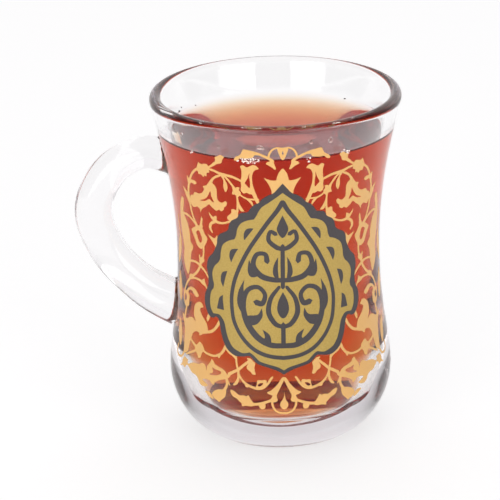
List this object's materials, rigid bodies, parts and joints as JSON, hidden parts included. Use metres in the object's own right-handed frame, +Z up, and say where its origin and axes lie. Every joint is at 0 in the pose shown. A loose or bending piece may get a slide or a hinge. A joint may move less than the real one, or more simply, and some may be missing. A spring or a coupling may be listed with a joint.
{
  "type": "handled tea glass filled with tea",
  "caption": "Waisted clear tea glass with a thick base, a fused ear handle and a printed scroll front, filled with black tea.",
  "frame": {"origin": "on the glass's own axis, in the plane of its foot", "axes": "+Z up along the glass's axis; the handle points along -X; the printed front faces -Y"},
  "size_m": [0.0869, 0.066, 0.0933],
  "materials": {
    "glass": "polished",
    "tea": "polished",
    "gold_enamel": "satin",
    "olive_enamel": "satin",
    "dark_enamel": "satin"
  },
  "bodies": {
    "root": {"glass": "glass", "tea": "tea"}
  },
  "joints": []
}
